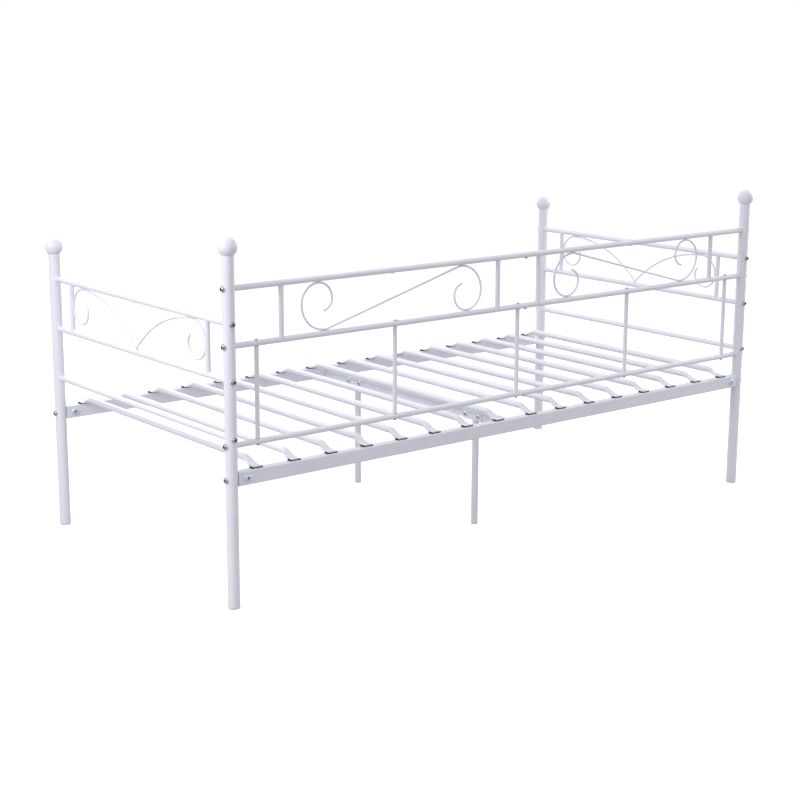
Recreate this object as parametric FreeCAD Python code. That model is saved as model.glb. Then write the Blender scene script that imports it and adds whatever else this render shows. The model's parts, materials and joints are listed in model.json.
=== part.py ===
import FreeCAD, Part

import math
import os

from FreeCAD import Vector

# A steel daybed: two end panels, a back panel, four finial posts, two long side rails with a
# centre beam on two legs, and tube slats.  Millimetres.  The origin is on the floor under the
# middle of the frame, +X runs along the length, +Y towards the back panel and +Z up.

# Overall frame, measured between post axes
LENGTH = 1950.0
WIDTH = 925.0

# Corner posts, their finials and feet
POST_R = 16.0
POST_WALL = 1.2
BACK_POST_TOP = 918.0
FRONT_POST_TOP = 818.0
FINIAL_R = 25.0
FINIAL_SEAT_LIP = 0.9
FINIAL_STEM = 22.0
FOOT_LIP = 4.0
FOOT_STEM = 20.0
PLUG_CLEARANCE = 0.15

# Round cross rails and their heights, to the tube's axis
RAIL_R = 8.0
RAIL_WALL = 1.0
BACK_TOP_Z = 834.0
BACK_MIDDLE_Z = 688.0
BACK_LOWER_Z = 432.0
END_TOP_Z = 745.0
END_MIDDLE_Z = 599.0
END_LOWER_Z = 451.0

# The back rails are made in two lengths that meet beside the middle
BACK_SEAM_X = 17.0
JOINER_REACH = 48.0
JOINER_END = 12.0
JOINER_WALL = 1.5
JOINER_SCREW_OFFSET = 46.0

# Welded uprights of the scroll panels
UPRIGHT_R = 6.75
UPRIGHT_WALL = 1.0
BACK_PANEL_MIDDLE_GAP = 156.0
BACK_PANEL_POST_GAP = 158.0
END_PANEL_POST_GAP = 100.0

# Scroll wire, and the radii of its quarter turns from the rail to the loose tip
WIRE_R = 3.0
BACK_SCROLL_OUTER_R = 71.0
BACK_SCROLL_INNER_RADII = (44.0, 31.0)
BACK_SCROLL_TIP_TURN = 84.0
BACK_SCROLL_UPRIGHT_GAP = 63.5
BACK_SCROLL_SWEEP_R = 60.0
END_SCROLL_RADII = (58.0, 45.0, 40.0, 22.0)
END_SCROLL_TIP_TURN = 60.0

# Screwed spindles below the back panel
SPINDLE_R = 6.0
SPINDLE_WALL = 1.0
SPINDLE_COUNT = 5
SPINDLE_POST_GAP = 81.0
SPINDLE_PLUG = 24.0
SPINDLE_SCREW_R = 2.5
SPINDLE_SCREW_GRIP = 16.0
SPINDLE_HEAD_R = 4.5
SPINDLE_HEAD = 3.2

# Long side rails: rectangular tube in two lengths that meet at the middle
SIDE_TOP_Z = 363.0
SIDE_HEIGHT = 38.0
SIDE_DEPTH = 25.0
SIDE_WALL = 1.5
SIDE_CORNER_R = 3.0
SIDE_POST_GAP = 1.2
SIDE_LAP = 2.5
SLEEVE_HALF = 90.0
SLEEVE_WALL = 2.0
SLEEVE_CLEARANCE = 0.2
BRACKET_LENGTH = 46.0
BRACKET_WALL = 2.5
BRACKET_WEB = 6.0
BRACKET_BOLT_GAP = 24.0

# Centre beam, its end plates and its two legs
BEAM_WIDTH = 25.0
BEAM_HEIGHT = 25.0
BEAM_WALL = 1.2
BEAM_DROP = 12.0
BEAM_PLATE_HALF = 75.0
BEAM_PLATE = 3.0
BEAM_PLATE_EDGE = 1.0
BEAM_BOLT_X = 55.0
LEG_R = 10.0
LEG_WALL = 1.2
LEG_Y = 290.0
SADDLE_HALF = 41.0
SADDLE_WALL = 2.5
SADDLE_HEIGHT = 22.0
SADDLE_CLEARANCE = 0.2
SADDLE_BOLT_Y = 28.0

# Slats: round tubes pressed flat at both ends, on black plastic shoes
SLATS_PER_HALF = 8
SLAT_POST_GAP = 76.0
SLAT_MIDDLE_GAP = 128.0
SLAT_R = 9.5
SLAT_WALL = 1.2
SLAT_SLIT = 0.3
SLAT_STEP = 5.0
SLAT_PRESS = 38.0
SLAT_TONGUE = 18.0
SHOE_MARGIN = 1.85
SHOE_DEPTH = 16.0
SHOE_HEIGHT = 3.0
SHOE_CHEEK = 1.7
SHOE_CHEEK_RISE = 1.4
SHOE_EDGE = 7.0
SHOE_PEG_R = 3.9
SHOE_PEG = 9.0
SHOE_HOLE_CLEARANCE = 0.1

# Bolts, nuts and washers
BOLT_R = 3.0
BOLT_HEAD_R = 7.5
BOLT_HEAD = 4.5
SOCKET_FLATS = 5.0
SOCKET_DEPTH = 2.6
HOLE_CLEARANCE = 0.2
THREAD_CLEARANCE = 0.05
WASHER_R = 9.0
WASHER = 1.5
INSERT_LENGTH = 26.0
BOLT_GRIP = 20.0
FACE_HEAD_R = 10.5
FACE_HEAD = 5.0
NUT_FLATS = 10.0
NUT = 5.0
BOLT_TAIL = 2.0

# Worked-out places
HALF_LENGTH = LENGTH / 2
HALF_WIDTH = WIDTH / 2
RAIL_BORE_R = RAIL_R - RAIL_WALL
SIDE_Z = SIDE_TOP_Z - SIDE_HEIGHT / 2
BEAM_TOP_Z = SIDE_TOP_Z - BEAM_DROP
BEAM_Z = BEAM_TOP_Z - BEAM_HEIGHT / 2
BEAM_BOTTOM_Z = BEAM_TOP_Z - BEAM_HEIGHT
SPINDLE_PITCH = (LENGTH - 2 * SPINDLE_POST_GAP) / (SPINDLE_COUNT - 1)
SLAT_PITCH = (HALF_LENGTH - SLAT_POST_GAP - SLAT_MIDDLE_GAP / 2) / (SLATS_PER_HALF - 1)
SLAT_Z = SIDE_TOP_Z + SHOE_HEIGHT + SLAT_STEP + SLAT_R
SLAT_FLAT = SLAT_WALL + SLAT_SLIT / 2
SLAT_PRESSED_WIDTH = 2 * SLAT_FLAT + math.pi * (SLAT_R - SLAT_FLAT)
PRESS_STEPS = 6
HALF_ROOT = math.sqrt(0.5)
FLAT_CORNER = 0.98
UP = Vector(0, 0, 1)
SIDES = (("right", 1), ("left", -1))
ROWS = (("back", 1), ("front", -1))
BACK_RAILS = (("top", BACK_TOP_Z), ("middle", BACK_MIDDLE_Z), ("lower", BACK_LOWER_Z))
END_RAILS = (("top", END_TOP_Z), ("middle", END_MIDDLE_Z), ("lower", END_LOWER_Z))


def rod(radius, start, end):
    """A round bar between two points."""
    run = end.sub(start)
    return Part.makeCylinder(radius, run.Length, start, run)


def tube(radius, wall, start, end):
    """A round tube between two points."""
    return rod(radius, start, end).cut(rod(radius - wall, start, end))


def block(x, y, z, dx, dy, dz):
    """A box from its lowest corner and its sides."""
    return Part.makeBox(dx, dy, dz, Vector(x, y, z))


def centred_block(centre, dx, dy, dz):
    """A box about its middle."""
    return block(centre.x - dx / 2, centre.y - dy / 2, centre.z - dz / 2, dx, dy, dz)


def hexagon(flats, height, base, axis):
    """A six-sided prism standing on base along axis."""
    corner = flats / math.sqrt(3)
    ring = []
    for k in range(7):
        turn = math.radians(60 * k)
        ring.append(Vector(corner * math.cos(turn), corner * math.sin(turn), 0))
    prism = Part.Face(Part.makePolygon(ring)).extrude(Vector(0, 0, height))
    prism.Placement = FreeCAD.Placement(base, FreeCAD.Rotation(UP, axis))
    return prism


def bolt(seat, axis, length, head_r=BOLT_HEAD_R, head=BOLT_HEAD):
    """A button-head bolt: its head stands on seat along axis, its shank runs the other way."""
    tall = seat.add(axis * head)
    dome = rod(head_r, seat, tall)
    rim = [e for e in dome.Edges if e.Curve.TypeId == "Part::GeomCircle"
           and (e.CenterOfMass.sub(tall)).Length < head / 2]
    dome = dome.makeFillet(head * 0.8, rim)
    dome = dome.cut(hexagon(SOCKET_FLATS, SOCKET_DEPTH + head, tall.sub(axis * SOCKET_DEPTH), axis))
    return dome.fuse(rod(BOLT_R, seat, seat.sub(axis * length))).removeSplitter()


def nut(seat, axis):
    """A plain nut standing on seat along axis."""
    return hexagon(NUT_FLATS, NUT, seat, axis).cut(
        rod(BOLT_R + THREAD_CLEARANCE, seat.sub(axis), seat.add(axis * (NUT + 1))))


def saddle_washer(post, axis):
    """A washer that is flat outside and hollowed to sit on a round post."""
    flat = post.add(axis * (POST_R + WASHER))
    disc = rod(WASHER_R, post.add(axis * (POST_R - WASHER_R / 2)), flat)
    disc = disc.cut(rod(POST_R, post.sub(UP * WASHER_R * 2), post.add(UP * WASHER_R * 2)))
    return disc.cut(rod(BOLT_R + HOLE_CLEARANCE, post, flat.add(axis)))


def box_tube(x0, x1, y, z, depth, height, wall, corner):
    """A rectangular tube along X with rounded corners."""
    shell = centred_block(Vector((x0 + x1) / 2, y, z), x1 - x0, depth, height)
    shell = shell.makeFillet(corner, [e for e in shell.Edges if abs(e.tangentAt(0).x) > 0.9])
    core = centred_block(Vector((x0 + x1) / 2, y, z), x1 - x0, depth - 2 * wall, height - 2 * wall)
    inner = corner - wall
    if inner > 0:
        core = core.makeFillet(inner, [e for e in core.Edges if abs(e.tangentAt(0).x) > 0.9])
    return shell.cut(core)


def beam_tube(y0, y1):
    """The centre beam's rectangular tube, along Y under the middle of the slats."""
    outer = block(-BEAM_WIDTH / 2, y0, BEAM_BOTTOM_Z, BEAM_WIDTH, y1 - y0, BEAM_HEIGHT)
    outer = outer.makeFillet(2 * BEAM_WALL, [e for e in outer.Edges if abs(e.tangentAt(0).y) > 0.9])
    core = block(-BEAM_WIDTH / 2 + BEAM_WALL, y0, BEAM_BOTTOM_Z + BEAM_WALL,
                 BEAM_WIDTH - 2 * BEAM_WALL, y1 - y0, BEAM_HEIGHT - 2 * BEAM_WALL)
    core = core.makeFillet(BEAM_WALL, [e for e in core.Edges if abs(e.tangentAt(0).y) > 0.9])
    return outer.cut(core)


def post_axis(side, row):
    """The foot of a post's axis; side is +1 at the right end, row is +1 at the back."""
    return Vector(side * HALF_LENGTH, row * HALF_WIDTH, 0)


def post_core(side, row):
    """The whole round bar that a post's outside fills, for coping what meets it."""
    return rod(POST_R, post_axis(side, row), post_axis(side, row).add(UP * BACK_POST_TOP))


def post_bolt_places(side, row):
    """Bolt holes of one post: height, outward axis, and length of shank past the post."""
    places = [(z, Vector(0, row, 0), BOLT_GRIP) for _, z in END_RAILS]
    if row > 0:
        places += [(z, Vector(side, 0, 0), BOLT_GRIP) for _, z in BACK_RAILS]
    places.append((SIDE_Z, Vector(side, 0, 0), BRACKET_WEB + NUT + BOLT_TAIL))
    return places


def post(side, row):
    """A corner post with its bolt holes."""
    foot = post_axis(side, row)
    top = BACK_POST_TOP if row > 0 else FRONT_POST_TOP
    shell = tube(POST_R, POST_WALL, foot.add(UP * FOOT_LIP), foot.add(UP * top))
    for z, axis, _ in post_bolt_places(side, row):
        middle = foot.add(UP * z)
        shell = shell.cut(rod(BOLT_R + HOLE_CLEARANCE, middle.sub(axis * 2 * POST_R),
                              middle.add(axis * 2 * POST_R)))
    return shell


def finial(side, row):
    """A ball with a flat underside and a stem that plugs the post's top."""
    top = BACK_POST_TOP if row > 0 else FRONT_POST_TOP
    seat = post_axis(side, row).add(UP * top)
    rise = math.sqrt(FINIAL_R ** 2 - (POST_R + FINIAL_SEAT_LIP) ** 2)
    ball = Part.makeSphere(FINIAL_R, seat.add(UP * rise))
    ball = ball.cut(centred_block(seat.sub(UP * FINIAL_R), 2 * FINIAL_R, 2 * FINIAL_R, 2 * FINIAL_R))
    return ball.fuse(rod(POST_R - POST_WALL - PLUG_CLEARANCE, seat, seat.sub(UP * FINIAL_STEM)))


def foot_plug(axis_foot, radius, wall):
    """A plastic foot: a lip under the tube and a stem inside it."""
    lip = rod(radius, axis_foot, axis_foot.add(UP * FOOT_LIP))
    under = [e for e in lip.Edges if e.CenterOfMass.z < FOOT_LIP / 4 and e.Length > radius]
    lip = lip.makeChamfer(FOOT_LIP / 4, under)
    lift = axis_foot.add(UP * FOOT_LIP)
    return lip.fuse(rod(radius - wall - PLUG_CLEARANCE, lift, lift.add(UP * FOOT_STEM)))


def end_rail(side, z):
    """A cross rail of an end panel, coped to the two posts."""
    start = Vector(side * HALF_LENGTH, -HALF_WIDTH, z)
    end = Vector(side * HALF_LENGTH, HALF_WIDTH, z)
    rail = tube(RAIL_R, RAIL_WALL, start, end)
    for _, row in ROWS:
        rail = rail.cut(post_core(side, row))
    return rail


def rail_insert(centre, inward, side, row):
    """A threaded plug inside the end of a round rail, hollowed to the post."""
    start = centre.add(inward * (POST_R / 2))
    end = centre.add(inward * (POST_R + INSERT_LENGTH))
    plug = tube(RAIL_BORE_R - PLUG_CLEARANCE, RAIL_BORE_R - PLUG_CLEARANCE - BOLT_R - THREAD_CLEARANCE,
                start, end)
    return plug.cut(post_core(side, row))


def back_rail(side, z, screw_holes):
    """Half of a back rail, from its post to the seam beside the middle."""
    start = Vector(side * HALF_LENGTH, HALF_WIDTH, z)
    rail = tube(RAIL_R, RAIL_WALL, start, Vector(BACK_SEAM_X, HALF_WIDTH, z))
    rail = rail.cut(post_core(side, 1))
    return drill_rail(rail, z, screw_holes)


def drill_rail(rail, z, screw_holes):
    """Upright screw holes through a back rail or its joiner."""
    for x in screw_holes:
        rail = rail.cut(rod(SPINDLE_SCREW_R + HOLE_CLEARANCE, Vector(x, HALF_WIDTH, z - 2 * RAIL_R),
                            Vector(x, HALF_WIDTH, z + 2 * RAIL_R)))
    return rail


def joiner(z, screw_holes):
    """The tube inside the two halves of a back rail."""
    inner = tube(RAIL_BORE_R - PLUG_CLEARANCE, JOINER_WALL,
                 Vector(joiner_screw_x() - JOINER_END, HALF_WIDTH, z),
                 Vector(BACK_SEAM_X + JOINER_REACH, HALF_WIDTH, z))
    return drill_rail(inner, z, screw_holes)


def joiner_screw_x():
    """Where the screw under each back rail holds its joiner."""
    return BACK_SEAM_X - JOINER_SCREW_OFFSET


def upright(x, y, low_z, high_z, along):
    """A welded upright between two rails, coped to both; along is the rails' direction."""
    bar = tube(UPRIGHT_R, UPRIGHT_WALL, Vector(x, y, low_z), Vector(x, y, high_z))
    for z in (low_z, high_z):
        middle = Vector(x, y, z)
        bar = bar.cut(rod(RAIL_R, middle.sub(along * 4 * RAIL_R), middle.add(along * 4 * RAIL_R)))
    return bar


def arc_points(centre, radius, start, turn):
    """Start, middle and end of an arc in a (u, z) plane, in degrees."""
    points = []
    for share in (0, 0.5, 1):
        angle = math.radians(start + turn * share)
        points.append((centre[0] + radius * math.cos(angle), centre[1] + radius * math.sin(angle)))
    return points


def volute(point, heading, radii, tip_turn, hand):
    """Arcs of a spiral that leaves point at heading and winds in, a quarter turn for each radius."""
    arcs = []
    for k, radius in enumerate(radii):
        turn = hand * (tip_turn if k == len(radii) - 1 else 90.0)
        side = math.radians(heading + hand * 90)
        centre = (point[0] + radius * math.cos(side), point[1] + radius * math.sin(side))
        arcs.append(arc_points(centre, radius, heading - hand * 90, turn))
        point = arcs[-1][-1]
        heading += turn
    return arcs


def wire_edges(pieces, place):
    """Edges of a wire's middle line: three points make an arc and two a straight."""
    edges = []
    for piece in pieces:
        points = [place(*p) for p in piece]
        if len(points) == 3:
            edges.append(Part.Arc(*points).toShape())
        else:
            edges.append(Part.LineSegment(*points).toShape())
    return edges


def bent_wire(pieces, place):
    """A round wire bent along tangent arcs and straights."""
    path = Part.Wire(Part.__sortEdges__(wire_edges(pieces, place)))
    first = path.Edges[0]
    start = first.valueAt(first.FirstParameter)
    tangent = first.tangentAt(first.FirstParameter)
    profile = Part.Wire(Part.makeCircle(WIRE_R, start, tangent))
    return path.makePipeShell([profile], True, True)


def back_scroll_path(panel_half):
    """The S scroll of a back panel about its own middle: a spiral, a straight and a spiral."""
    low = -(BACK_TOP_Z - BACK_MIDDLE_Z) / 2 + RAIL_R + WIRE_R
    radii = (BACK_SCROLL_OUTER_R, -2 * low - BACK_SCROLL_OUTER_R) + BACK_SCROLL_INNER_RADII
    start = BACK_SCROLL_UPRIGHT_GAP + BACK_SCROLL_OUTER_R - panel_half
    centre = (start, low + BACK_SCROLL_SWEEP_R)
    reach = math.hypot(*centre)
    lean = math.atan2(-centre[1], -centre[0])
    slope = math.degrees(math.asin(BACK_SCROLL_SWEEP_R / reach) + lean)
    sweep = arc_points(centre, BACK_SCROLL_SWEEP_R, -90.0, slope)
    spiral = volute((start, low), 180.0, radii, BACK_SCROLL_TIP_TURN, -1)
    half = [list(reversed(arc)) for arc in reversed(spiral)] + [sweep]
    other = [[(-u, -z) for u, z in reversed(arc)] for arc in reversed(half)]
    return half + [[sweep[-1], (-sweep[-1][0], -sweep[-1][1])]] + other


def back_scroll(side):
    """An S scroll wire between the uprights of one back panel."""
    panel_start = BACK_PANEL_MIDDLE_GAP / 2
    panel_end = HALF_LENGTH - BACK_PANEL_POST_GAP
    middle_x = (panel_start + panel_end) / 2
    middle_z = (BACK_TOP_Z + BACK_MIDDLE_Z) / 2

    def place(u, z):
        return Vector(side * (middle_x - u), HALF_WIDTH, middle_z + z)

    return bent_wire(back_scroll_path((panel_end - panel_start) / 2), place)


def end_scroll_wire(side, row):
    """One half of an end panel's scroll: an arch from the middle that winds in beside a post."""
    top = END_TOP_Z - RAIL_R - WIRE_R
    foot = END_MIDDLE_Z + RAIL_R + WIRE_R
    reach = HALF_WIDTH - END_PANEL_POST_GAP - UPRIGHT_R - WIRE_R - END_SCROLL_RADII[0]
    radius = (reach ** 2 + (top - foot) ** 2) / (2 * (top - foot))
    opening = math.degrees(math.asin(reach / radius))
    arch = arc_points((reach, top - radius), radius, 90 + opening, -opening)
    pieces = [arch] + volute((reach, top), 0.0, END_SCROLL_RADII, END_SCROLL_TIP_TURN, -1)

    def place(u, z):
        return Vector(side * HALF_LENGTH, row * u, z)

    wire = bent_wire(pieces, place)
    rail = rod(RAIL_R, place(-reach, END_MIDDLE_Z), place(reach, END_MIDDLE_Z))
    beyond = block(side * HALF_LENGTH - reach, 0, foot - reach, 2 * reach, reach, 2 * reach)
    if row > 0:
        beyond = block(side * HALF_LENGTH - reach, -reach, foot - reach, 2 * reach, reach, 2 * reach)
    return wire.cut(rail).cut(beyond)


def spindle_places():
    """X of each spindle."""
    return [-HALF_LENGTH + SPINDLE_POST_GAP + k * SPINDLE_PITCH for k in range(SPINDLE_COUNT)]


def spindle(x):
    """A spindle tube, cut square, between the middle and lower back rails."""
    low = Vector(x, HALF_WIDTH, BACK_LOWER_Z + RAIL_R)
    return tube(SPINDLE_R, SPINDLE_WALL, low, Vector(x, HALF_WIDTH, BACK_MIDDLE_Z - RAIL_R))


def spindle_plugs(x):
    """The two threaded plugs inside a spindle's ends."""
    radius = SPINDLE_R - SPINDLE_WALL - PLUG_CLEARANCE
    wall = radius - SPINDLE_SCREW_R - THREAD_CLEARANCE
    low = Vector(x, HALF_WIDTH, BACK_LOWER_Z + RAIL_R)
    high = Vector(x, HALF_WIDTH, BACK_MIDDLE_Z - RAIL_R)
    return [tube(radius, wall, low, low.add(UP * SPINDLE_PLUG)),
            tube(radius, wall, high, high.sub(UP * SPINDLE_PLUG))]


def rail_screw(x, z, up, length):
    """A domed screw through a rail: up is +1 when its head is on top."""
    seat = Vector(x, HALF_WIDTH, z + up * RAIL_R)
    axis = UP * up
    head = rod(SPINDLE_HEAD_R, seat, seat.add(axis * SPINDLE_HEAD))
    rim = [e for e in head.Edges if e.Curve.TypeId == "Part::GeomCircle"
           and e.CenterOfMass.sub(seat.add(axis * SPINDLE_HEAD)).Length < SPINDLE_HEAD / 2]
    head = head.makeFillet(SPINDLE_HEAD * 0.8, rim)
    return head.fuse(rod(SPINDLE_SCREW_R, seat, seat.sub(axis * length)))


def side_rail(side, row):
    """Half of a side rail, with holes for its shoes' pegs and its bolts."""
    y = row * HALF_WIDTH
    inner, outer = sorted((0.0, side * (HALF_LENGTH - POST_R + SIDE_LAP)))
    rail = box_tube(inner, outer, y, SIDE_Z, SIDE_DEPTH, SIDE_HEIGHT, SIDE_WALL, SIDE_CORNER_R)
    foot = post_axis(side, row)
    rail = rail.cut(rod(POST_R + SIDE_POST_GAP, foot, foot.add(UP * SIDE_TOP_Z * 2)))
    for x in slat_places():
        if x * side > 0:
            rail = rail.cut(rod(SHOE_PEG_R + SHOE_HOLE_CLEARANCE,
                                Vector(x, shoe_y(row), SIDE_TOP_Z + SHOE_HEIGHT),
                                Vector(x, shoe_y(row), SIDE_TOP_Z - SHOE_PEG)))
    face = Vector(side * bracket_bolt_x(), y + SIDE_DEPTH, SIDE_Z)
    rail = rail.cut(rod(BOLT_R + HOLE_CLEARANCE, face, Vector(face.x, y, SIDE_Z)))
    plate = Vector(side * BEAM_BOLT_X, y - row * SIDE_DEPTH, SIDE_Z)
    return rail.cut(rod(BOLT_R + HOLE_CLEARANCE, plate, Vector(plate.x, y, SIDE_Z)))


def side_sleeve(row):
    """The tube inside the two halves of a side rail."""
    y = row * HALF_WIDTH
    shrink = 2 * (SIDE_WALL + SLEEVE_CLEARANCE)
    sleeve = box_tube(-SLEEVE_HALF, SLEEVE_HALF, y, SIDE_Z, SIDE_DEPTH - shrink,
                      SIDE_HEIGHT - shrink, SLEEVE_WALL, SIDE_CORNER_R - SIDE_WALL)
    for side in (1, -1):
        plate = Vector(side * BEAM_BOLT_X, y - row * SIDE_DEPTH, SIDE_Z)
        sleeve = sleeve.cut(rod(BOLT_R + HOLE_CLEARANCE, plate, Vector(plate.x, y, SIDE_Z)))
    for x in slat_places():
        if abs(x) < SLEEVE_HALF + SHOE_PEG_R:
            sleeve = sleeve.cut(rod(SHOE_PEG_R + SHOE_HOLE_CLEARANCE,
                                    Vector(x, shoe_y(row), SIDE_TOP_Z),
                                    Vector(x, shoe_y(row), SIDE_TOP_Z - 2 * SHOE_PEG)))
    return sleeve


def end_bracket(side, row):
    """A folded bracket in the end of a side rail: a web hollowed to the post and two flanges."""
    y = row * HALF_WIDTH
    depth = SIDE_DEPTH - 2 * (SIDE_WALL + SLEEVE_CLEARANCE)
    height = SIDE_HEIGHT - 2 * (SIDE_WALL + SLEEVE_CLEARANCE)
    start = HALF_LENGTH - POST_R + BRACKET_WEB
    end = HALF_LENGTH - POST_R - BRACKET_LENGTH
    body = centred_block(Vector(side * (start + end) / 2, y, SIDE_Z), start - end, depth, height)
    hollow_start = HALF_LENGTH - POST_R - BRACKET_WEB
    hollow = centred_block(Vector(side * (hollow_start + end) / 2, y, SIDE_Z),
                           hollow_start - end, depth - 2 * BRACKET_WALL, height)
    body = body.makeFillet(SIDE_CORNER_R - SIDE_WALL,
                           [e for e in body.Edges if abs(e.tangentAt(0).x) > 0.9])
    body = body.cut(hollow).cut(post_core(side, row))
    axis = Vector(side * HALF_LENGTH, y, SIDE_Z)
    body = body.cut(rod(BOLT_R + HOLE_CLEARANCE, axis, Vector(side * end, y, SIDE_Z)))
    face = Vector(side * bracket_bolt_x(), y + SIDE_DEPTH, SIDE_Z)
    body = body.cut(rod(BOLT_R + HOLE_CLEARANCE, face, Vector(face.x, y, SIDE_Z)))
    for x in slat_places():
        if x * side > end - SHOE_PEG_R:
            body = body.cut(rod(SHOE_PEG_R + SHOE_HOLE_CLEARANCE, Vector(x, shoe_y(row), SIDE_TOP_Z),
                                Vector(x, shoe_y(row), SIDE_TOP_Z - SHOE_PEG)))
    return body


def bracket_bolt_x():
    """How far from the middle the bolt through a side rail's end bracket is."""
    return HALF_LENGTH - POST_R - BRACKET_BOLT_GAP


def side_nut_seat(row, sign, wall_inside):
    """Y of the inner face that a nut sits on, sign towards the wall that the bolt passes."""
    return row * HALF_WIDTH + sign * (SIDE_DEPTH / 2 - SIDE_WALL - SLEEVE_CLEARANCE - wall_inside)


def slat_places():
    """X of each slat."""
    right = [SLAT_MIDDLE_GAP / 2 + k * SLAT_PITCH for k in range(SLATS_PER_HALF)]
    return [-x for x in reversed(right)] + right


def shoe_y(row):
    """Y of a shoe's middle: near the outer edge of the side rail's top."""
    return row * (HALF_WIDTH + SIDE_DEPTH / 2 - SHOE_EDGE - SHOE_DEPTH / 2)


def shoe(x, row):
    """A plastic shoe under a slat's end, with cheeks beside it and a peg into the side rail."""
    base = Vector(x, shoe_y(row), SIDE_TOP_Z)
    width = SLAT_PRESSED_WIDTH + 2 * SHOE_MARGIN
    tall = SHOE_HEIGHT + SHOE_CHEEK_RISE
    pad = centred_block(base.add(UP * tall / 2), width, SHOE_DEPTH, tall)
    pad = pad.makeFillet(SHOE_CHEEK / 2, [e for e in pad.Edges if abs(e.tangentAt(0).z) > 0.9])
    pad = pad.cut(centred_block(base.add(UP * tall), width - 2 * SHOE_CHEEK, 2 * SHOE_DEPTH,
                                2 * SHOE_CHEEK_RISE))
    return pad.fuse(rod(SHOE_PEG_R, base, base.sub(UP * SHOE_PEG)))


def pressed_section(y, share, inset):
    """A slat's outline at y, round at share 0 and pressed flat at share 1, or its bore's with inset."""
    high = SLAT_R + (SLAT_FLAT - SLAT_R) * share
    wide = high + math.pi / 2 * (SLAT_R - high) - inset
    z = SLAT_Z + (SIDE_TOP_Z + SHOE_HEIGHT + SLAT_FLAT - SLAT_Z) * share
    high -= inset
    corner_x = wide - high * (1 - HALF_ROOT * (1 - share))
    corner_z = high * (HALF_ROOT + (FLAT_CORNER - HALF_ROOT) * share)

    def place(x, height):
        return Vector(x, y, z + height)

    arcs = [Part.Arc(place(-corner_x, corner_z), place(0, high), place(corner_x, corner_z)),
            Part.Arc(place(corner_x, corner_z), place(wide, 0), place(corner_x, -corner_z)),
            Part.Arc(place(corner_x, -corner_z), place(0, -high), place(-corner_x, -corner_z)),
            Part.Arc(place(-corner_x, -corner_z), place(-wide, 0), place(-corner_x, corner_z))]
    return Part.Wire([arc.toShape() for arc in arcs])


def slat_bar(inset):
    """A slat's outside about X = 0, or its bore where inset is the wall."""
    flat_y = abs(shoe_y(1)) + SHOE_DEPTH / 2 - SLAT_TONGUE
    round_y = flat_y - SLAT_PRESS
    bar = rod(SLAT_R - inset, Vector(0, -round_y, SLAT_Z), Vector(0, round_y, SLAT_Z))
    for _, row in ROWS:
        sections = []
        for step in range(PRESS_STEPS + 1):
            share = step / PRESS_STEPS
            y = row * (round_y + SLAT_PRESS * share)
            sections.append(pressed_section(y, share ** 2 * (3 - 2 * share), inset))
        tongue = Part.Face(sections[-1]).extrude(Vector(0, row * (SLAT_TONGUE + inset), 0))
        bar = bar.fuse([Part.makeLoft(sections, True, False), tongue])
    return bar


def slat():
    """A tube slat about X = 0, its pressed ends resting on its shoes."""
    return slat_bar(0).cut(slat_bar(SLAT_WALL))


def beam_plate(row):
    """The plate on the end of the centre beam, bolted across the side rail's seam."""
    inner_face = row * (HALF_WIDTH - SIDE_DEPTH / 2 - BEAM_PLATE / 2)
    height = SIDE_HEIGHT - 2 * BEAM_PLATE_EDGE
    plate = centred_block(Vector(0, inner_face, SIDE_Z), 2 * BEAM_PLATE_HALF, BEAM_PLATE, height)
    for side in (1, -1):
        hole = Vector(side * BEAM_BOLT_X, inner_face - SIDE_DEPTH, SIDE_Z)
        plate = plate.cut(rod(BOLT_R + HOLE_CLEARANCE, hole, hole.add(Vector(0, 2 * SIDE_DEPTH, 0))))
    return plate


def beam_end_y():
    """Where the centre beam meets its end plates."""
    return HALF_WIDTH - SIDE_DEPTH / 2 - BEAM_PLATE


def centre_beam():
    """The beam under the slats, with the holes of its legs' bolts."""
    beam = beam_tube(-beam_end_y(), beam_end_y())
    for _, row in ROWS:
        for y in saddle_bolt_ys(row):
            beam = beam.cut(rod(BOLT_R + HOLE_CLEARANCE, Vector(-BEAM_WIDTH, y, BEAM_Z),
                                Vector(BEAM_WIDTH, y, BEAM_Z)))
    return beam


def saddle_bolt_ys(row):
    """Y of the two bolts of one leg's saddle."""
    return [row * LEG_Y - SADDLE_BOLT_Y, row * LEG_Y + SADDLE_BOLT_Y]


def saddle(row):
    """A folded channel under the beam, with the leg below it."""
    inside = BEAM_WIDTH / 2 + SADDLE_CLEARANCE
    outside = inside + SADDLE_WALL
    low = BEAM_BOTTOM_Z - SADDLE_WALL
    start = row * LEG_Y - SADDLE_HALF
    body = block(-outside, start, low, 2 * outside, 2 * SADDLE_HALF, SADDLE_WALL + SADDLE_HEIGHT)
    body = body.makeFillet(SADDLE_WALL, [e for e in body.Edges
                                         if abs(e.tangentAt(0).y) > 0.9 and e.CenterOfMass.z < low + 1])
    body = body.cut(block(-inside, start, BEAM_BOTTOM_Z, 2 * inside, 2 * SADDLE_HALF, BEAM_HEIGHT))
    for y in saddle_bolt_ys(row):
        body = body.cut(rod(BOLT_R + HOLE_CLEARANCE, Vector(-2 * outside, y, BEAM_Z),
                            Vector(2 * outside, y, BEAM_Z)))
    return body


def centre_leg(row):
    """A round leg from its foot to its saddle."""
    return tube(LEG_R, LEG_WALL, Vector(0, row * LEG_Y, FOOT_LIP),
                Vector(0, row * LEG_Y, BEAM_BOTTOM_Z - SADDLE_WALL))


def saddle_side():
    """X of a saddle's outer face."""
    return BEAM_WIDTH / 2 + SADDLE_CLEARANCE + SADDLE_WALL


def save(name, solids):
    """Write one node: a solid, or a group of separate solids."""
    if not isinstance(solids, list):
        solids = [solids]
    shapes = []
    for solid in solids:
        shapes += solid.Solids
    shape = shapes[0] if len(shapes) == 1 else Part.makeCompound(shapes)
    shape.exportStep(os.path.join("parts", name + ".step"))


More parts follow.
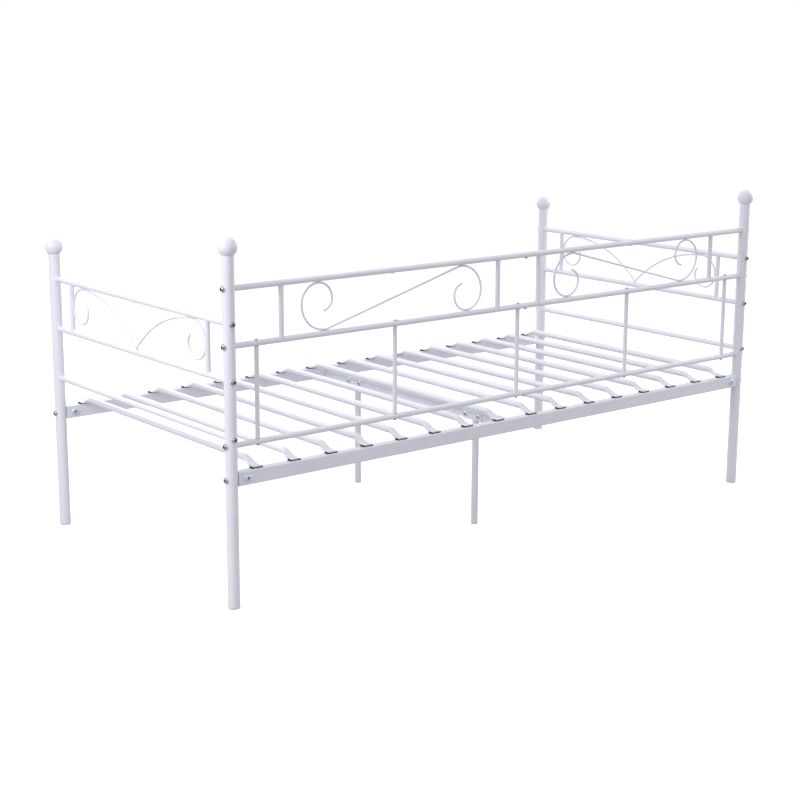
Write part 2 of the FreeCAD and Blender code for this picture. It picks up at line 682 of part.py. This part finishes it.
def save_posts():
    """Posts, finials, feet, and the bolts and washers that go through the posts."""
    finials = []
    feet = []
    bolts = []
    washers = []
    for side_name, side in SIDES:
        for row_name, row in ROWS:
            save("%s_%s_post" % (row_name, side_name), post(side, row))
            finials.append(finial(side, row))
            feet.append(foot_plug(post_axis(side, row), POST_R, POST_WALL))
            for z, axis, past in post_bolt_places(side, row):
                middle = post_axis(side, row).add(UP * z)
                washers.append(saddle_washer(middle, axis))
                bolts.append(bolt(middle.add(axis * (POST_R + WASHER)), axis,
                                  2 * POST_R + WASHER + past))
    feet += [foot_plug(Vector(0, row * LEG_Y, 0), LEG_R, LEG_WALL) for _, row in ROWS]
    save("finials", finials)
    save("foot_plugs", feet)
    save("post_bolts", bolts)
    save("post_washers", washers)


def save_end_panels():
    """Rails, uprights and scrolls of the two end panels."""
    uprights = []
    for side_name, side in SIDES:
        for rail_name, z in END_RAILS:
            save("%s_end_%s_rail" % (side_name, rail_name), end_rail(side, z))
        save("%s_end_scroll" % side_name, [end_scroll_wire(side, row) for _, row in ROWS])
        for _, row in ROWS:
            y = row * (HALF_WIDTH - END_PANEL_POST_GAP)
            uprights.append(upright(side * HALF_LENGTH, y, END_MIDDLE_Z, END_TOP_Z, Vector(0, 1, 0)))
    save("end_uprights", uprights)


def save_back_panel():
    """Rails, joiners, uprights, scrolls and spindles of the back panel."""
    joiners = []
    screws = []
    for rail_name, z in BACK_RAILS:
        holes = [joiner_screw_x()] + ([] if rail_name == "top" else spindle_places())
        for side_name, side in SIDES:
            save("back_%s_rail_%s" % (rail_name, side_name), back_rail(side, z, holes))
        joiners.append(joiner(z, holes))
        screws.append(rail_screw(joiner_screw_x(), z, -1, RAIL_R))
    for x in spindle_places():
        screws.append(rail_screw(x, BACK_MIDDLE_Z, 1, 2 * RAIL_R + SPINDLE_SCREW_GRIP))
        screws.append(rail_screw(x, BACK_LOWER_Z, -1, 2 * RAIL_R + SPINDLE_SCREW_GRIP))
    uprights = []
    for side_name, side in SIDES:
        for x in (BACK_PANEL_MIDDLE_GAP / 2, HALF_LENGTH - BACK_PANEL_POST_GAP):
            uprights.append(upright(side * x, HALF_WIDTH, BACK_MIDDLE_Z, BACK_TOP_Z, Vector(1, 0, 0)))
        save("back_scroll_%s" % side_name, back_scroll(side))
    save("back_uprights", uprights)
    save("back_rail_joiners", joiners)
    save("spindle_screws", screws)
    save("back_spindles", [spindle(x) for x in spindle_places()])


def save_inserts():
    """Threaded plugs in the ends of the round rails and the spindles."""
    inserts = []
    for x in spindle_places():
        inserts += spindle_plugs(x)
    for _, side in SIDES:
        for _, row in ROWS:
            for _, z in END_RAILS:
                inserts.append(rail_insert(post_axis(side, row).add(UP * z), Vector(0, -row, 0), side, row))
        for _, z in BACK_RAILS:
            inserts.append(rail_insert(post_axis(side, 1).add(UP * z), Vector(-side, 0, 0), side, 1))
    save("threaded_inserts", inserts)


def save_side_rails():
    """Side rails with their sleeves, end brackets, bolts and nuts."""
    nuts = []
    bolts = []
    for row_name, row in ROWS:
        for side_name, side in SIDES:
            save("%s_side_rail_%s" % (row_name, side_name), side_rail(side, row))
            web = side * (HALF_LENGTH - POST_R - BRACKET_WEB)
            nuts.append(nut(Vector(web, row * HALF_WIDTH, SIDE_Z), Vector(-side, 0, 0)))
            face = Vector(side * bracket_bolt_x(), row * HALF_WIDTH + SIDE_DEPTH / 2, SIDE_Z)
            inside = side_nut_seat(row, 1, BRACKET_WALL)
            bolts.append(bolt(face, Vector(0, 1, 0), face.y - inside + NUT + BOLT_TAIL / 2,
                              FACE_HEAD_R, FACE_HEAD))
            nuts.append(nut(Vector(face.x, inside, SIDE_Z), Vector(0, -1, 0)))
            plate_face = row * (HALF_WIDTH - SIDE_DEPTH / 2 - BEAM_PLATE)
            seat = Vector(side * BEAM_BOLT_X, plate_face, SIDE_Z)
            inside = side_nut_seat(row, -row, SLEEVE_WALL)
            bolts.append(bolt(seat, Vector(0, -row, 0), abs(inside - plate_face) + NUT + BOLT_TAIL / 2))
            nuts.append(nut(Vector(seat.x, inside, SIDE_Z), Vector(0, row, 0)))
    save("side_rail_brackets", [end_bracket(side, row) for _, side in SIDES for _, row in ROWS])
    save("side_rail_sleeves", [side_sleeve(row) for _, row in ROWS])
    for _, row in ROWS:
        for y in saddle_bolt_ys(row):
            bolts.append(bolt(Vector(saddle_side(), y, BEAM_Z), Vector(1, 0, 0),
                              2 * saddle_side() + NUT + BOLT_TAIL))
            nuts.append(nut(Vector(-saddle_side(), y, BEAM_Z), Vector(-1, 0, 0)))
    save("rail_bolts", bolts)
    save("frame_nuts", nuts)


def save_centre():
    """The centre beam with its plates, saddles and legs."""
    save("centre_beam", centre_beam())
    save("beam_plates", [beam_plate(row) for _, row in ROWS])
    save("leg_saddles", [saddle(row) for _, row in ROWS])
    for row_name, row in ROWS:
        save("centre_leg_%s" % row_name, centre_leg(row))


def save_slats():
    """Slats, numbered from the left end, and their shoes."""
    bar = slat()
    for number, x in enumerate(slat_places(), 1):
        save("slat_%02d" % number, bar.translated(Vector(x, 0, 0)))
    save("slat_shoes", [shoe(x, row) for x in slat_places() for _, row in ROWS])


os.makedirs("parts", exist_ok=True)
save_posts()
save_end_panels()
save_back_panel()
save_inserts()
save_side_rails()
save_centre()
save_slats()
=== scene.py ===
import json
import math

import bpy
import numpy as np
from mathutils import Matrix, Vector


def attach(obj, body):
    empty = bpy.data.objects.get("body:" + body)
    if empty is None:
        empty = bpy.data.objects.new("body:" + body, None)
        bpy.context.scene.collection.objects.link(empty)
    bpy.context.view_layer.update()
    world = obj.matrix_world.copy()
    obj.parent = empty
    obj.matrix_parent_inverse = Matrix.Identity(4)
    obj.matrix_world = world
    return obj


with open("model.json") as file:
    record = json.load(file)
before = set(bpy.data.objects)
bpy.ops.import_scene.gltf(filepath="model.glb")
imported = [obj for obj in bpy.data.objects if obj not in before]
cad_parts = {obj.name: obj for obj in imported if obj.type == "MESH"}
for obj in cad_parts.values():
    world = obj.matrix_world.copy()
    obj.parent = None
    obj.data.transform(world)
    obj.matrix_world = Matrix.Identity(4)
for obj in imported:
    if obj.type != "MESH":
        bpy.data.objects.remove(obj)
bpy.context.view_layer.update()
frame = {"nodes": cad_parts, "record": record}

# Camera: its place in metres, its angles in degrees, its lens and sensor in millimetres
CAMERA_PLACE = (3.1731, 3.8809, 1.4873)
CAMERA_YAW = 38.76
CAMERA_PITCH = 13.01
CAMERA_ROLL = 0.27
CAMERA_LENS = 74.37
CAMERA_SENSOR = 36.0

# Surroundings: what the studio's walls send, and their faint blue
WALL_LIGHT = 0.77
WALL_COLOUR = (0.97, 0.98, 1, 1)
WHITE = (1, 1, 1, 1)

# Floor: its reflectance, its glow towards the camera, and its disc's size and drop
FLOOR_GREY = 0.45
FLOOR_GLOW = 0.74
FLOOR_REACH = 400.0
FLOOR_SIDES = 64
FLOOR_DROP = 0.0005

# Each lamp's place, what it is aimed at, its size and its power
LAMPS = {
    "key": ((2.86, 0.4, 1.9), (0.975, 0.3, 0.6), 0.8, 33.5),
    "front": ((-3.2, 3.0, 1.6), (-0.9, 0.3, 0.5), 1.5, 7.0),
    "side": ((-3.4, 0.6, 1.6), (-0.9, 0.0, 0.5), 1.5, 36.0),
    "behind": ((0.0, -3.2, 2.0), (0.0, -0.3, 0.5), 1.5, 28.0),
    "overhead": ((-0.9, -0.4, 3.2), (-0.9, -0.4, 0.0), 1.5, 7.5),
}

# The part of a noise's range that most of it lies in
NOISE_LOW = 0.3
NOISE_HIGH = 0.7

# Painted shade in recesses: how closed a place is when it counts as deep and as open
HOLLOW_DEEP = 0.6
HOLLOW_OPEN = 0.93
HOLLOW_SAMPLES = 8
# The dark colour painted as shade deep in recesses, and how far the occlusion looks for cover
RECESS_SHADE_COLOUR = (0.02, 0.019, 0.018)
RECESS_SHADE_REACH = 0.006

# Frame tubes that the welds join, in metres, and the directions of the panels
RAIL_R = 0.008
UPRIGHT_R = 0.00675
UP = Vector((0, 0, 1))
ALONG_BACK = Vector((1, 0, 0))
ALONG_END = Vector((0, 1, 0))

# Weld beads: radius, sides, and the size and two wave rates of the ripple
BEAD_R = 0.0012
BEAD_SIDES = 8
BEAD_RIPPLE = 0.16
BEAD_WAVE = 2.1
BEAD_SLOW_WAVE = 0.37
# An open bead's taper, in steps: where it starts, and what is cut from its count of steps
TAPER_START = 0.35
TAPER_CUT = 0.3
# Beads round an upright: steps, height over the rail in bead radii, and the seed's step
RING_STEPS = 60
RING_RISE = 0.3
RING_SEED = 1.7
# Beads along a wire: points, length, offset from the wire's middle plane, and depth below its edge
WIRE_POINTS = 9
WIRE_LENGTH = 0.009
WIRE_ASIDE = 0.0021
WIRE_SINK = 0.0006
# How near the outermost point a wire's vertex counts, and the probe that looks for an upright
OUTERMOST = 0.00005
PROBE = 0.002
PROBE_MARGIN = 0.0005
# Decimal places to which vertices are merged, and to which solids are sorted
MERGE_DIGITS = 5
SORT_DIGITS = 4


def material(name, **fixed):
    """A material with a principled shader and its uniform values."""
    made = bpy.data.materials.new(name)
    made.use_nodes = True
    shader = made.node_tree.nodes["Principled BSDF"]
    for socket, value in fixed.items():
        shader.inputs[socket.replace("_", " ")].default_value = value
    return made, shader


class Graph:
    """Short calls for a node tree whose textures follow the object's own coordinates."""

    def __init__(self, tree):
        self.tree = tree
        self.place = self.add("ShaderNodeTexCoord").outputs["Object"]

    def add(self, kind, **settings):
        node = self.tree.nodes.new(kind)
        for key, value in settings.items():
            setattr(node, key, value)
        return node

    def join(self, a, b):
        self.tree.links.new(a, b)

    def noise(self, scale, detail):
        node = self.add("ShaderNodeTexNoise")
        node.inputs["Scale"].default_value = scale
        node.inputs["Detail"].default_value = detail
        self.join(self.place, node.inputs["Vector"])
        return node.outputs["Fac"]

    def spread(self, fac, low, high):
        """Maps the usual range of a noise onto low to high."""
        node = self.add("ShaderNodeMapRange")
        ends = (("From Min", NOISE_LOW), ("From Max", NOISE_HIGH), ("To Min", low), ("To Max", high))
        for key, value in ends:
            node.inputs[key].default_value = value
        self.join(fac, node.inputs["Value"])
        return node.outputs["Result"]

    def ramp(self, fac, *stops):
        node = self.add("ShaderNodeValToRGB")
        while len(node.color_ramp.elements) < len(stops):
            node.color_ramp.elements.new(1.0)
        for element, (position, colour) in zip(node.color_ramp.elements, stops):
            element.position = position
            element.color = (*colour, 1.0)
        self.join(fac, node.inputs["Fac"])
        return node.outputs["Color"]

    def blend(self, fac, low, high):
        """From the colour low to the colour high over the usual range of a noise."""
        return self.ramp(fac, (NOISE_LOW, low), (NOISE_HIGH, high))

    def multiply(self, a, b):
        node = self.add("ShaderNodeMix", data_type="RGBA", blend_type="MULTIPLY")
        node.inputs["Factor"].default_value = 1.0
        self.join(a, node.inputs["A"])
        self.join(b, node.inputs["B"])
        return node.outputs["Result"]

    def painted_recess_shade(self, reach, deep):
        """Painted shade from ambient occlusion: white where the surface is open, falling to the colour
        deep inside recesses.
        """
        node = self.add("ShaderNodeAmbientOcclusion", only_local=True, samples=HOLLOW_SAMPLES)
        node.inputs["Distance"].default_value = reach
        return self.ramp(node.outputs["AO"], (HOLLOW_DEEP, deep), (HOLLOW_OPEN, WHITE[:3]))

    def bump(self, height, distance, strength, below=None):
        node = self.add("ShaderNodeBump")
        node.inputs["Distance"].default_value = distance
        node.inputs["Strength"].default_value = strength
        self.join(height, node.inputs["Height"])
        if below is not None:
            self.join(below, node.inputs["Normal"])
        return node.outputs["Normal"]


def powder_coat():
    """White powder coat: faint lavender, orange peel, thin and thick patches."""
    made, shader = material("powder_coat_white", Coat_Weight=0.12, Coat_Roughness=0.2)
    g = Graph(made.node_tree)
    tone = g.blend(g.noise(scale=11, detail=3), (0.765, 0.765, 0.85), (0.795, 0.795, 0.87))
    g.join(tone, shader.inputs["Base Color"])
    g.join(g.spread(g.noise(scale=35, detail=3), 0.30, 0.42), shader.inputs["Roughness"])
    peel = g.bump(g.noise(scale=520, detail=1.5), distance=0.00012, strength=0.35)
    grain = g.bump(g.noise(scale=2200, detail=1), distance=0.00004, strength=0.25, below=peel)
    g.join(grain, shader.inputs["Normal"])
    return made


def gloss_plastic(name, light, dark, rough):
    """Moulded plastic: even colour, faint flow marks and a fine grain."""
    made, shader = material(name)
    g = Graph(made.node_tree)
    g.join(g.blend(g.noise(scale=40, detail=2), dark, light), shader.inputs["Base Color"])
    g.join(g.spread(g.noise(scale=90, detail=3), rough - 0.05, rough + 0.07), shader.inputs["Roughness"])
    grain = g.bump(g.noise(scale=900, detail=2), distance=0.00005, strength=0.25)
    g.join(grain, shader.inputs["Normal"])
    return made


def zinc(name, light, dark, rough):
    """Zinc plate over steel: a faint grain, dull patches and painted shade darkening its recesses."""
    made, shader = material(name, Metallic=1.0)
    g = Graph(made.node_tree)
    plate = g.blend(g.noise(scale=160, detail=3), dark, light)
    # Painted shade: the zinc colour is darkened in sockets and other recesses
    g.join(g.multiply(plate, g.painted_recess_shade(RECESS_SHADE_REACH, RECESS_SHADE_COLOUR)), shader.inputs["Base Color"])
    g.join(g.spread(g.noise(scale=240, detail=3), rough - 0.07, rough + 0.09), shader.inputs["Roughness"])
    grain = g.bump(g.noise(scale=1500, detail=2), distance=0.00004, strength=0.3)
    g.join(grain, shader.inputs["Normal"])
    return made


def bare_steel():
    """Drawn steel tube: grey, with darker and duller patches and a fine grain."""
    made, shader = material("drawn_steel", Metallic=1.0)
    g = Graph(made.node_tree)
    tone = g.blend(g.noise(scale=80, detail=4), (0.30, 0.30, 0.31), (0.48, 0.48, 0.49))
    g.join(tone, shader.inputs["Base Color"])
    g.join(g.spread(g.noise(scale=300, detail=4), 0.30, 0.5), shader.inputs["Roughness"])
    grain = g.bump(g.noise(scale=1200, detail=2), distance=0.00005, strength=0.3)
    g.join(grain, shader.inputs["Normal"])
    return made


MATERIALS = {
    "powder_coat": powder_coat(),
    "finial_plastic": gloss_plastic("white_plastic", (0.765, 0.765, 0.84), (0.735, 0.735, 0.815), 0.38),
    "foot_plastic": gloss_plastic("foot_plastic_grey", (0.70, 0.70, 0.73), (0.64, 0.64, 0.68), 0.45),
    "shoe_plastic": gloss_plastic("black_plastic", (0.010, 0.010, 0.011), (0.004, 0.004, 0.005), 0.55),
    "zinc_steel": zinc("zinc_plate", (0.56, 0.58, 0.62), (0.32, 0.34, 0.37), 0.22),
    "bare_steel": bare_steel(),
}

# Nodes whose plate looks different from the other zinc parts
FINISHES = {
    "post_washers": zinc("zinc_washer", (0.90, 0.92, 0.95), (0.78, 0.81, 0.86), 0.40),
    "rail_bolts": zinc("zinc_pale_blue", (0.74, 0.84, 0.94), (0.64, 0.75, 0.87), 0.45),
}

for part in frame["record"]["subparts"]:
    node = frame["nodes"][part["node"]]
    node.data.materials.clear()
    node.data.materials.append(FINISHES.get(part["node"], MATERIALS[part["material_slot"]]))


def islands(node):
    """The separate solids of a CAD node, each as an array of its vertices."""
    mesh = frame["nodes"][node].data
    points = np.array([v.co for v in mesh.vertices])
    keys, same = np.unique(np.round(points, MERGE_DIGITS), axis=0, return_inverse=True)
    parent = list(range(len(keys)))

    def root(k):
        while parent[k] != k:
            parent[k] = parent[parent[k]]
            k = parent[k]
        return k

    same = same.ravel()
    for edge in mesh.edges:
        a, b = (root(same[v]) for v in edge.vertices)
        parent[a] = b
    groups = {}
    for k, key in enumerate(keys):
        groups.setdefault(root(k), []).append(key)
    solids = (np.array(g) for g in groups.values())
    return sorted(solids, key=lambda g: tuple(np.round(g.mean(0), SORT_DIGITS)))


def new_piece(name, vertices, faces, slot):
    """A smooth piece in the shared frame that rides on the root and takes a slot's finish."""
    mesh = bpy.data.meshes.new(name)
    mesh.from_pydata(vertices, [], faces)
    mesh.validate()
    mesh.polygons.foreach_set("use_smooth", [True] * len(mesh.polygons))
    mesh.materials.append(MATERIALS[slot])
    piece = bpy.data.objects.new(name, mesh)
    bpy.context.scene.collection.objects.link(piece)
    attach(piece, "root")
    return piece


def bead(path, closed, vertices, faces, seed):
    """Adds a rippled bead along path, a list of (point, outward) pairs."""
    count = len(path)
    base = len(vertices)
    for k, (point, outward) in enumerate(path):
        before, after = path[k - 1][0], path[(k + 1) % count][0]
        if not closed and k in (0, count - 1):
            before, after = (path[0][0], path[1][0]) if k == 0 else (path[-2][0], path[-1][0])
        along = (after - before).normalized()
        out = (outward - along * outward.dot(along)).normalized()
        over = along.cross(out)
        ripple = math.sin(BEAD_WAVE * k + seed) * math.sin(BEAD_SLOW_WAVE * k + 2 * seed)
        radius = BEAD_R * (1 + BEAD_RIPPLE * ripple)
        if not closed:
            radius *= math.sin(math.pi * (k + TAPER_START) / (count - TAPER_CUT)) ** 0.5
        for j in range(BEAD_SIDES):
            angle = math.tau * j / BEAD_SIDES
            vertices.append(point + (out * math.cos(angle) + over * math.sin(angle)) * radius)
    for k in range(count if closed else count - 1):
        for j in range(BEAD_SIDES):
            a, b = base + k * BEAD_SIDES, base + (k + 1) % count * BEAD_SIDES
            n = (j + 1) % BEAD_SIDES
            faces.append((a + j, b + j, b + n, a + n))
    if not closed:
        last = base + (count - 1) * BEAD_SIDES
        faces.append([base + j for j in range(BEAD_SIDES)])
        faces.append([last + j for j in reversed(range(BEAD_SIDES))])


def upright_welds(name, node, along):
    """A fillet bead round each end of each welded upright, over the rail it is coped to."""
    across = UP.cross(along)
    vertices, faces = [], []
    for count, solid in enumerate(islands(node)):
        low, high = Vector(solid.min(0)), Vector(solid.max(0))
        middle = (low + high) / 2
        # The cope's lowest points hang beside the rail, this far past its crown
        sag = RAIL_R - math.sqrt(RAIL_R ** 2 - UPRIGHT_R ** 2)
        for end, sign in ((low.z, 1), (high.z, -1)):
            axis_z = end + sign * (sag - RAIL_R)
            path = []
            for k in range(RING_STEPS):
                angle = math.tau * k / RING_STEPS
                side = UPRIGHT_R * math.sin(angle)
                rise = math.sqrt(RAIL_R ** 2 - side ** 2)
                point = Vector((middle.x, middle.y, axis_z + sign * (rise + BEAD_R * RING_RISE)))
                outward = along * math.cos(angle) + across * math.sin(angle)
                path.append((point + outward * UPRIGHT_R, outward))
            bead(path, True, vertices, faces, count * RING_SEED + sign)
    return new_piece(name, vertices, faces, "powder_coat")


def touches_upright(point, outward):
    """Whether an upright is right beside a wire's outermost point."""
    probe = point + outward * PROBE
    for node in ("back_uprights", "end_uprights"):
        for solid in islands(node):
            low, high = Vector(solid.min(0)), Vector(solid.max(0))
            if all(low[k] - PROBE_MARGIN < probe[k] < high[k] + PROBE_MARGIN for k in range(3)):
                return True
    return False


def wire_welds(name, nodes, along):
    """Two short beads, one on each face, at the middle of each wire's outermost points.

    A wire that reaches one rail in two places has them between the two, not at either.
    """
    across = UP.cross(along)
    vertices, faces = [], []
    for number, node in enumerate(nodes):
        for solid in islands(node):
            for axis, run in ((UP, along), (along, UP)):
                heights = solid @ np.array(axis)
                for sign in (1, -1):
                    far = (heights * sign).max()
                    contact = Vector(solid[heights * sign > far - OUTERMOST].mean(0))
                    if axis is along and not touches_upright(contact, axis * sign):
                        continue
                    for face in (1, -1):
                        path = []
                        for k in range(WIRE_POINTS):
                            shift = (k / (WIRE_POINTS - 1) - 0.5) * WIRE_LENGTH
                            point = contact + run * shift + across * (face * WIRE_ASIDE)
                            path.append((point - axis * sign * WIRE_SINK, across * face))
                        bead(path, False, vertices, faces, number + face)
    return new_piece(name, vertices, faces, "powder_coat")


upright_welds("back_upright_welds", "back_uprights", ALONG_BACK)
upright_welds("end_upright_welds", "end_uprights", ALONG_END)
wire_welds("back_scroll_welds", ("back_scroll_right", "back_scroll_left"), ALONG_BACK)
wire_welds("end_scroll_welds", ("right_end_scroll", "left_end_scroll"), ALONG_END)


def lay_floor(scene):
    """A wide pale disc just under the feet, which glows for the camera only."""
    mesh = bpy.data.meshes.new("floor")
    turns = [math.tau * k / FLOOR_SIDES for k in range(FLOOR_SIDES)]
    ring = [(FLOOR_REACH * math.cos(a), FLOOR_REACH * math.sin(a), -FLOOR_DROP) for a in turns]
    mesh.from_pydata(ring, [], [range(FLOOR_SIDES)])
    floor = bpy.data.objects.new("floor", mesh)
    scene.collection.objects.link(floor)
    made, shader = material("floor_white", Roughness=0.9, Specular_IOR_Level=0.1,
                            Base_Color=(FLOOR_GREY, FLOOR_GREY, FLOOR_GREY, 1),
                            Emission_Color=WHITE)
    tree = made.node_tree
    lift = tree.nodes.new("ShaderNodeMath")
    lift.operation = "MULTIPLY"
    lift.inputs[1].default_value = FLOOR_GLOW
    tree.links.new(tree.nodes.new("ShaderNodeLightPath").outputs["Is Camera Ray"], lift.inputs[0])
    tree.links.new(lift.outputs[0], shader.inputs["Emission Strength"])
    mesh.materials.append(made)


def surround(scene):
    """Walls that light the bed evenly and that the camera sees as plain white."""
    world = bpy.data.worlds.new("studio")
    scene.world = world
    world.use_nodes = True
    tree = world.node_tree
    back = tree.nodes["Background"]
    seen = tree.nodes.new("ShaderNodeBackground")
    seen.inputs["Color"].default_value = WHITE
    back.inputs["Color"].default_value = WALL_COLOUR
    back.inputs["Strength"].default_value = WALL_LIGHT
    path = tree.nodes.new("ShaderNodeLightPath")
    mix = tree.nodes.new("ShaderNodeMixShader")
    tree.links.new(path.outputs["Is Camera Ray"], mix.inputs["Fac"])
    tree.links.new(back.outputs[0], mix.inputs[1])
    tree.links.new(seen.outputs[0], mix.inputs[2])
    tree.links.new(mix.outputs[0], tree.nodes["World Output"].inputs["Surface"])


def hang_lamps(scene):
    """Square soft lamps, each turned towards its target."""
    for name, (place, target, size, power) in LAMPS.items():
        lamp = bpy.data.lights.new(name, "AREA")
        lamp.shape = "SQUARE"
        lamp.size = size
        lamp.energy = power
        held = bpy.data.objects.new(name, lamp)
        held.location = place
        held.rotation_euler = (Vector(target) - Vector(place)).to_track_quat("-Z", "Y").to_euler()
        scene.collection.objects.link(held)


def aim_camera(scene):
    """The camera off the right back corner, looking slightly down across the bed."""
    lens = bpy.data.cameras.new("camera")
    lens.lens = CAMERA_LENS
    lens.sensor_width = CAMERA_SENSOR
    camera = bpy.data.objects.new("camera", lens)
    scene.collection.objects.link(camera)
    turned = (Matrix.Rotation(math.radians(180 - CAMERA_YAW), 4, "Z")
              @ Matrix.Rotation(math.radians(90 - CAMERA_PITCH), 4, "X")
              @ Matrix.Rotation(math.radians(CAMERA_ROLL), 4, "Z"))
    camera.matrix_world = Matrix.Translation(CAMERA_PLACE) @ turned
    scene.camera = camera
    scene.view_settings.view_transform = "Standard"


studio = bpy.context.scene
lay_floor(studio)
surround(studio)
hang_lamps(studio)
aim_camera(studio)
